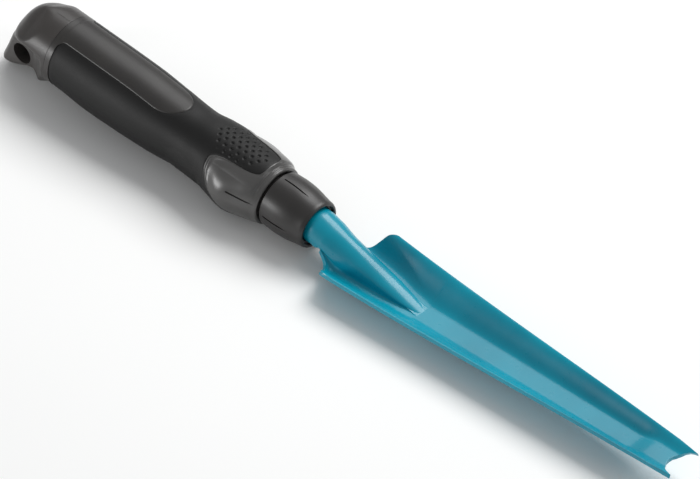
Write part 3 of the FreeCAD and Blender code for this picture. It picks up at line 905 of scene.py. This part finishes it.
@dataclass
class EndCap:
    """The pommel: round above, pinched below, with the hanging hole."""

    bench: Bench
    looks: Finishes
    seam_x: float = -112.0
    pinch_y: float = 9.5
    hole_x: float = -128.5
    hole_z: float = -7.2
    hole_r: float = 4.6
    seam_r: float = 14.8
    pinch_from_z: float = -1.8
    pinch_fade: float = 8.6
    barrel_more: float = 6.4
    edge_low: float = 3.4
    edge_more: float = 7.6

    # side outline from the seam's top round the rear to the seam's bottom: x and z
    SIDE = ((-112.0, 14.8), (-117.0, 14.9), (-121.2, 14.7), (-124.8, 14.0), (-127.9, 12.5), (-130.6, 10.1),
            (-132.8, 7.0), (-135.0, 2.2), (-137.0, -3.0), (-138.8, -8.4), (-140.4, -12.8), (-141.2, -15.2),
            (-140.9, -17.4), (-139.4, -18.9), (-137.2, -19.4), (-134.4, -19.0), (-131.4, -17.8),
            (-128.0, -16.0), (-124.5, -14.3), (-121.0, -13.4), (-117.5, -13.5), (-114.5, -14.2),
            (-112.0, -14.8))
    PLAN = ((-123.0, 0.0), (-119.5, 0.18), (-116.5, 0.45), (-113.8, 0.78), (-112.2, 1.0))

    def outline(self, count: int) -> np.ndarray:
        """Side outline at even steps, closed along the seam.

        Args:
            count: Number of points.

        Returns:
            Array of x and z, first point at the seam's middle.
        """
        corners = np.array(self.SIDE)
        arc = run_along(corners)
        even = np.linspace(0.0, arc[-1], 240)
        line = np.stack([flow(arc, corners[:, k], even) for k in (0, 1)], -1)
        seam_up = np.stack([np.full(12, self.seam_x), np.linspace(0.0, self.seam_r, 13)[:-1]], -1)
        seam_low = np.stack([np.full(12, self.seam_x), np.linspace(-self.seam_r, 0.0, 13)[1:]], -1)
        whole = np.concatenate([seam_up, line, seam_low])
        run = run_along(whole)
        steps = np.linspace(0.0, run[-1], count)
        steps[np.argmin(np.abs(steps - self.seam_r))] = self.seam_r
        steps[np.argmin(np.abs(steps - (run[-1] - self.seam_r)))] = run[-1] - self.seam_r
        return np.stack([np.interp(steps, run, whole[:, k]) for k in (0, 1)], -1)

    def half_width(self, x: np.ndarray, z: np.ndarray, edge: np.ndarray, crest: np.ndarray) -> np.ndarray:
        """Half-width of the cap over a point of its side view.

        Args:
            x: Places along the axis.
            z: Heights.
            edge: Distances from the side outline.
            crest: The outline's upper part, from the seam to the pommel's end.

        Returns:
            Half-widths in millimetres.
        """
        open_out = smooth_step((z - self.pinch_from_z) / self.pinch_fade)
        plan = flow([p[0] for p in self.PLAN], [p[1] for p in self.PLAN], x)
        pinch = self.pinch_y + self.barrel_more * (1 - (1 - open_out) * (1 - plan))
        crown = np.interp(x, crest[::-1, 0], crest[::-1, 1])
        low_share = 0.35 + 0.65 * smooth_step((x + 123) / 10)
        ease = smooth_step((x + 124.5) / 6)
        level = np.where(z > 0, z * (self.seam_r / np.clip(crown, 0.5, self.seam_r)) ** ease, z * low_share)
        barrel = np.sqrt(np.clip(self.seam_r ** 2 - level ** 2, 0.0, None))
        soft = 1.6 * smooth_step((-112.4 - x) / 3)
        gap = np.clip(0.5 + 0.5 * (pinch - barrel) / np.maximum(soft, 1e-6), 0, 1)
        width = barrel * gap + pinch * (1 - gap) - soft * gap * (1 - gap)
        width = np.where(soft < 1e-3, np.minimum(pinch, barrel), width)
        rounding = self.edge_low + self.edge_more * smooth_step((z + 3) / 11)
        rounding = rounding * smooth_step((-113.5 - x) / 12)
        share = np.clip(edge / np.maximum(rounding, 1e-6), 0, 1)
        hold = smooth_step((z - 1) / 8) * (1 - smooth_step((-115.0 - x) / 10))
        share = 1 - (1 - share) * (1 - hold)
        return np.maximum(width, 0.0) * quarter_round(share)

    def build(self) -> bpy.types.Object:
        """Build the cap.

        Returns:
            The cap.
        """
        rim = self.outline(260)
        centre = np.array([-122.0, -1.0])
        steps = np.sin(np.linspace(0.0, math.pi / 2, 60))
        points = centre + steps[:, None, None] * (rim - centre)
        free = rim[rim[:, 0] < self.seam_x - 1e-6]
        edge = np.full(points.shape[:2], 1e9)
        for corner in free:
            edge = np.minimum(edge, np.hypot(points[..., 0] - corner[0], points[..., 1] - corner[1]))
        crest = rim[np.argmax(rim[:, 1] > 14.79):np.argmin(rim[:, 0]) + 1]
        width = self.half_width(points[..., 0], points[..., 1], edge, crest)
        width[-1, rim[:, 0] < self.seam_x - 1e-6] = 0.0
        left = np.stack([points[..., 0], width, points[..., 1]], -1)
        right = left * np.array([1.0, -1.0, 1.0])
        net = np.concatenate([left, right[::-1]])
        piece = self.bench.sheet("end_cap_pommel", net)
        self.bench.tidy(piece, 0.01)
        self.bench.clear()
        bpy.ops.mesh.primitive_cylinder_add(vertices=96, radius=self.hole_r, depth=60.0,
                                            location=(self.hole_x, 0.0, self.hole_z),
                                            rotation=(math.radians(90), 0.0, 0.0))
        pin = bpy.context.object
        bpy.ops.object.transform_apply(location=True, rotation=True, scale=True)
        self.bench.cut(piece, pin)
        self.bench.soften(piece, 0.45, 55.0, 4)
        return self.bench.finish(piece, Body.HANDLE, "hard_grey", self.looks.get(self.looks.cap),
                                 ["end_cap"], 40.0)


# ---------------------------------------------------------------- clamp
@dataclass
class Clamp:
    """The collar and the thrust ring inside it."""

    bench: Bench
    looks: Finishes
    rear_x: float = 0.6
    front_x: float = 21.4
    body_length: float = 18.0
    body_r: float = 11.55
    belly: float = 0.42
    taper: float = 1.25

    def collar(self) -> bpy.types.Object:
        """Turn the union nut and cut its four fine grooves.

        Returns:
            The collar.
        """
        swell = [(self.rear_x + 0.35 + self.body_length * t,
                  self.body_r + self.belly * math.sin(math.pi * min(1.0, 1.15 * t)) - self.taper * t ** 2.4)
                 for t in np.linspace(0.0, 1.0, 18)]
        front = [(19.6, 10.25), (20.3, 10.12), (20.9, 9.88), (21.3, 9.55), (self.front_x, 9.2), (21.3, 8.85),
                 (21.0, 8.64)]
        inside = [(20.6, 8.55), (20.2, 8.55), (20.1, 8.95), (14.45, 8.95), (14.45, 9.95), (12.55, 9.95),
                  (12.55, 10.45), (11.4, 10.45), (11.4, 9.95), (9.6, 9.95), (9.6, 9.1), (8.4, 9.1),
                  (8.4, 9.95), (6.6, 9.95), (6.6, 9.1), (5.4, 9.1), (5.4, 9.95), (1.0, 9.95),
                  (self.rear_x, 10.5)]
        outline = [(self.rear_x, 11.2)] + swell + front + inside
        piece = self.bench.spun("collar_nut", outline)
        for quarter in range(4):
            self.bench.groove(piece, (2.4, -Bench.GROOVE_HALF, 11.35), (16.8, Bench.GROOVE_HALF, 14.0),
                              1.6, 0.0, 90 * quarter)
        return self.bench.finish(piece, Body.COLLAR, "collar_grey", self.looks.get(self.looks.collar),
                                 ["collar"], 32.0)

    def thrust_ring(self) -> bpy.types.Object:
        """Turn the thrust ring with its keys and notch.

        Returns:
            The ring.
        """
        outline = [(12.5, 7.65), (12.5, 8.6), (12.75, 8.6), (12.75, 9.6), (14.15, 9.6), (14.15, 8.7),
                   (19.7, 8.7), (19.9, 8.5), (19.9, 7.85), (19.7, 7.65)]
        piece = self.bench.spun("thrust_ring_sleeve", outline)
        notch = self.bench.bar("notch", (17.0, 3.6, 4.0), (21.0, 6.2, 9.4), 0.2)
        self.bench.cut(piece, notch)
        for side in (1, -1):
            key = self.bench.bar("thrust_key", (6.5, -1.2, 7.66), (13.0, 1.2, 8.55), 0.12, 90 * side)
            self.bench.activate(key)
            piece.select_set(True)
            bpy.context.view_layer.objects.active = piece
            bpy.ops.object.join()
        return self.bench.finish(piece, Body.THRUST, "ring_grey", self.looks.get(self.looks.ring),
                                 ["thrust_ring"], 32.0)

    def build(self) -> None:
        """Build both pieces."""
        self.collar()
        self.thrust_ring()


# ---------------------------------------------------------------- blade
@dataclass
class Blade:
    """The stamped trough blade with its rolled tang."""

    bench: Bench
    looks: Finishes
    sheet: float = 1.7
    tang_r: float = 7.35
    tang_rear_x: float = 13.0
    ridge_start_x: float = 23.2
    open_x: float = 29.0
    v_x: float = 76.0
    prong_x: float = 207.0
    floor_rear_z: float = -6.7
    floor_rise: float = 13.4
    wall_skew: float = 1.15
    shoulder_x: float = 40.0
    shoulder_half: float = 17.9
    side_taper: float = 0.0585
    lip_z: float = 0.8
    lip_rise: float = 8.2
    lip_length: float = 190.0
    lip_slope: float = 0.01
    prong_taper: float = 0.11
    cone_power: float = 0.42
    fillet_r: float = 1.9
    seam_turn: float = 172.0
    opened_turn: float = 80.0
    tip_lift: float = 0.45
    tip_lift_x: float = 181.0
    tip_lift_length: float = 12.0

    NEAR_REAR = ((28.0, 7.35), (30.5, 7.9), (33.5, 8.8), (35.6, 11.4), (36.8, 14.2), (38.4, 16.7),
                 (40.5, 17.4), (44.0, 17.55))
    FAR_REAR = ((28.0, 7.35), (30.5, 7.9), (35.0, 8.6), (38.5, 10.4), (41.0, 13.4), (43.5, 16.2),
                (47.0, 17.5))
    NOTCH = ((0.0, 199.8), (1.8, 200.0), (3.6, 200.9), (5.1, 202.2), (6.2, 203.8), (7.0, 205.6),
             (7.7, 207.0))
    NOTCH_START = 186.0
    PRONG_LENGTH = 9.5
    HILL_COLUMNS = 30
    WALL_COLUMNS = 46

    def edge_y(self, x: np.ndarray) -> np.ndarray:
        """Half-width of the blade at x."""
        return self.shoulder_half - (x - self.shoulder_x) * self.side_taper

    def edge_z(self, x: np.ndarray) -> np.ndarray:
        """Height of the lip at x."""
        past = x - self.shoulder_x
        return self.lip_z + self.lip_rise * smooth_step(past / self.lip_length) + self.lip_slope * past

    def floor_z(self, x: np.ndarray) -> np.ndarray:
        """Height of the trough's floor at x."""
        past = np.maximum(x - self.v_x, 0.0)
        return self.floor_rear_z + self.floor_rise * past / (self.prong_x - self.v_x)

    def ridge_z(self, x: np.ndarray) -> np.ndarray:
        """Height of the tang's ridge at x."""
        t = np.clip((x - self.ridge_start_x) / (self.v_x - self.ridge_start_x), 0.0, 1.0)
        return self.tang_r - (self.tang_r - self.floor_rear_z) * t

    def cone(self, x: float) -> float:
        """Half-width of the ridge that the tang runs out in."""
        left = min(1.0, max(0.0, (self.v_x - x) / (self.v_x - self.open_x)))
        return self.tang_r * left ** self.cone_power

    def half_tube(self, x: float) -> np.ndarray:
        """Half section of the rolled tang behind the wings, from the top round to its seam."""
        sweep = self.seam_turn - self.opened_turn * float(smooth_step((x - 20.0) / 9.0))
        upper = np.linspace(0.0, 90.0, self.HILL_COLUMNS)
        under = np.linspace(90.0, max(sweep, 90.6), self.WALL_COLUMNS + 1)[1:]
        turn = np.radians(np.concatenate([upper, under]))
        drop = float(self.ridge_z(x)) - self.tang_r
        return np.stack([self.tang_r * np.sin(turn), self.tang_r * np.cos(turn) + drop], -1)

    def half_trough(self, x: float, limit: float) -> np.ndarray:
        """Half section of the ridge, the floor and the wing, cut off at the blade's half-width.

        Args:
            x: Place along the axis.
            limit: Half-width of the blade there.

        Returns:
            Array of across and height, from the middle out.
        """
        out = float(self.edge_y(x)) + 0.1
        high = float(self.edge_z(x))
        top = float(self.ridge_z(x))
        low = float(self.floor_z(x))
        low += self.tip_lift * (high - low) * float(smooth_step((x - self.tip_lift_x) / self.tip_lift_length))
        settled = float(smooth_step((x - self.open_x) / 9.0))
        low = (top - self.tang_r) * (1 - settled) + low * settled
        height = max(top - low, 0.0)
        cone = self.cone(x)
        fillet = min(self.fillet_r * min(1.0, cone / 5.0) * settled, 0.4 * height)
        span = max(cone, 3.0)
        turn = np.linspace(0.0, math.pi / 2, self.HILL_COLUMNS)
        across = span * np.sin(turn)
        share = np.clip(across / max(cone, 1e-6), 0.0, 1.0)
        bluntness = 0.8 - 0.3 * min(1.0, cone / 3.0)
        hill = low + fillet + max(height - fillet, 0.0) * (1 - share ** 2) ** bluntness
        foot = np.linspace(0.0, math.pi / 2, 9)[1:]
        outer = [(span, float(hill[-1]))]
        outer += [(span + fillet * (1 - math.cos(t)), low + fillet * (1 - math.sin(t))) for t in foot]
        flat_end = max(0.20 * out + 0.55 * cone, span + fillet + 0.4)
        reach = np.linspace(0.0, 1.0, 200)
        wall = low + (high - low) * smooth_step(reach ** self.wall_skew)
        line = np.stack([flat_end + (out - flat_end) * reach, wall], -1)
        line = np.concatenate([np.array(outer), line])
        beyond = np.nonzero(line[:, 0] > limit)[0]
        if len(beyond):
            k = max(int(beyond[0]), 1)
            part = (limit - line[k - 1, 0]) / max(line[k, 0] - line[k - 1, 0], 1e-9)
            line = np.concatenate([line[:k], [line[k - 1] + part * (line[k] - line[k - 1])]])
        run = run_along(line)
        at = np.linspace(0.0, run[-1], self.WALL_COLUMNS + 1)[1:]
        rest = np.stack([np.interp(at, run, line[:, k]) for k in (0, 1)], -1)
        return np.concatenate([np.stack([across, hill], -1), rest])

    def half(self, x: float, rear: Sequence[tuple[float, float]]) -> np.ndarray:
        """Half section at x on the side with that rear outline."""
        if x <= self.open_x:
            return self.half_tube(x)
        return self.half_trough(x, self.limit(x, rear))

    def limit(self, x: float, rear: Sequence[tuple[float, float]]) -> float:
        """Half-width of the blade's outline at x on one side."""
        places = [p[0] for p in rear]
        if x < places[-1]:
            return float(flow(places, [p[1] for p in rear], np.array(x)))
        kink = self.prong_x - self.PRONG_LENGTH
        if x > kink:
            return float(self.edge_y(kink)) - (x - kink) * self.prong_taper
        return float(self.edge_y(x))

    def notched(self, net: np.ndarray) -> np.ndarray:
        """Draw each lengthwise line of the net back to the notch.

        Args:
            net: Sections, as rows.

        Returns:
            The net with its last rows along the notch.
        """
        start = self.NOTCH_START
        along = net[:, 0, 0].copy()
        notch_y, notch_x = zip(*self.NOTCH)
        shaped = net.copy()
        for column in range(net.shape[1]):
            end = np.interp(abs(net[-1, column, 1]), notch_y, notch_x)
            drawn = np.where(along > start, start + (along - start) * (end - start) / (along[-1] - start),
                             along)
            for k in (0, 1, 2):
                shaped[:, column, k] = np.interp(drawn, along, net[:, column, k])
        return shaped

    def build(self) -> bpy.types.Object:
        """Build the blade.

        Returns:
            The blade.
        """
        x = np.concatenate([ruled((self.tang_rear_x, self.open_x, 0.8), (self.open_x, 48.0, 0.3),
                                  (48.0, 64.0, 0.8), (64.0, 80.0, 0.4), (80.0, 180.0, 2.0)),
                            np.linspace(180.0, self.prong_x, 46)])
        rows = []
        for place in x:
            far = self.half(float(place), self.FAR_REAR)
            near = self.half(float(place), self.NEAR_REAR) * np.array([-1.0, 1.0])
            loop = np.concatenate([near[:0:-1], far])
            rows.append(np.concatenate([np.full((len(loop), 1), place), loop], axis=1))
        piece = self.bench.sheet("blade_trough", self.notched(np.array(rows)))
        self.bench.tidy(piece, 0.004)
        self.bench.activate(piece)
        crown = max(piece.data.polygons, key=lambda face: face.center.z)
        if crown.normal.z < 0:
            piece.data.flip_normals()
        thick = piece.modifiers.new("thick", "SOLIDIFY")
        thick.thickness = self.sheet
        thick.offset = -1.0
        bpy.ops.object.modifier_apply(modifier=thick.name)
        self.bench.soften(piece, 0.45, 62.0, 3)
        return self.bench.finish(piece, Body.TOOL_HEAD, "turquoise_coat", self.looks.get(self.looks.coat),
                                 ["blade"], 45.0)


# ---------------------------------------------------------------- studio
@dataclass
class Studio:
    """Pale floor, soft boxes and the camera."""

    looks: Finishes
    azimuth: float = 42.82
    elevation: float = 43.45
    roll: float = 0.88
    distance: float = 3.08
    lens_mm: float = 416.449440
    sensor_mm: float = 36.0
    shift_x: float = 0.0137143
    shift_y: float = 0.0344571
    room: str = "#F4F6F8"
    room_strength: float = 0.34

    # soft boxes: name, place and side in metres, power in watts
    BOXES = (("top_box", (0.10, 0.80, 1.05), 0.80, 14.0), ("back_box", (-0.62, 0.68, 0.90), 0.70, 3.0),
             ("left_box", (-0.66, -0.98, 0.20), 0.30, 4.0), ("tip_box", (1.2, 0.25, 0.65), 0.40, 2.0))

    def floor(self) -> None:
        """Lay the pale floor."""
        Bench.clear()
        bpy.ops.mesh.primitive_plane_add(size=12.0, location=(0.0, 0.0, CAD_BOX[0][2] - 0.0005))
        floor = bpy.context.object
        floor.name = "studio_floor"
        floor.data.materials.append(self.looks.get(self.looks.board))

    def light(self, name: str, place: Sequence[float], size: float, power: float) -> None:
        """Hang a square soft box that looks at the tool.

        Args:
            name: Its name.
            place: Its position in metres.
            size: Its side in metres.
            power: Its power in watts.
        """
        data = bpy.data.lights.new(name, "AREA")
        data.shape = "SQUARE"
        data.size = size
        data.energy = power
        lamp = bpy.data.objects.new(name, data)
        lamp.location = place
        lamp.rotation_euler = (-Vector(place)).to_track_quat("-Z", "Y").to_euler()
        bpy.context.scene.collection.objects.link(lamp)

    def lights(self) -> None:
        """Hang the soft boxes and tint the surroundings."""
        for name, place, size, power in self.BOXES:
            self.light(name, place, size, power)
        world = bpy.data.worlds.new("soft_room")
        world.use_nodes = True
        background = world.node_tree.nodes["Background"]
        background.inputs["Color"].default_value = linear(self.room)
        background.inputs["Strength"].default_value = self.room_strength
        bpy.context.scene.world = world

    def camera(self) -> None:
        """Stand the camera."""
        a, e, r = (math.radians(v) for v in (self.azimuth, self.elevation, self.roll))
        back = Vector((math.sin(a) * math.cos(e), -math.cos(a) * math.cos(e), math.sin(e)))
        right = Vector((math.cos(a), math.sin(a), 0.0))
        up = back.cross(right)
        leaned_right = right * math.cos(r) + up * math.sin(r)
        leaned_up = up * math.cos(r) - right * math.sin(r)
        data = bpy.data.cameras.new("camera")
        data.sensor_width = self.sensor_mm
        data.lens = self.lens_mm
        data.shift_x = self.shift_x
        data.shift_y = self.shift_y
        data.clip_start = 0.05
        camera = bpy.data.objects.new("camera", data)
        turn = Matrix((leaned_right, leaned_up, back)).transposed().to_4x4()
        camera.matrix_world = Matrix.Translation(back * self.distance) @ turn
        bpy.context.scene.collection.objects.link(camera)
        bpy.context.scene.camera = camera

    def build(self) -> None:
        """Set up the whole studio."""
        self.floor()
        self.lights()
        self.camera()
        bpy.context.scene.view_settings.view_transform = "Standard"


def dress_inner_parts(looks: Finishes) -> None:
    """Give the CAD nodes that stay their finishes.

    Args:
        looks: All finishes.
    """
    finishes = {"handle_core": looks.cap, "cap_screw": looks.steel, "cap_washer": looks.steel,
                "collet": looks.clamp, "collar_snap_ring": looks.steel, "tang_core": looks.clamp,
                "tang_rivets": looks.steel}
    for name, finish in finishes.items():
        node = frame["nodes"][name]
        node.data.materials.clear()
        node.data.materials.append(looks.get(finish))
        LOG.info("%s: dressed as %s", name, finish.name)


def main() -> None:
    """Build the tool and the studio."""
    logging.basicConfig(level=logging.INFO)
    looks = Finishes()
    bench = Bench()
    dress_inner_parts(looks)
    Grip(bench, looks, GripForm(), GuardBorder()).build()
    EndCap(bench, looks).build()
    Clamp(bench, looks).build()
    Blade(bench, looks).build()
    Studio(looks).build()


if __name__ == "__main__":
    main()
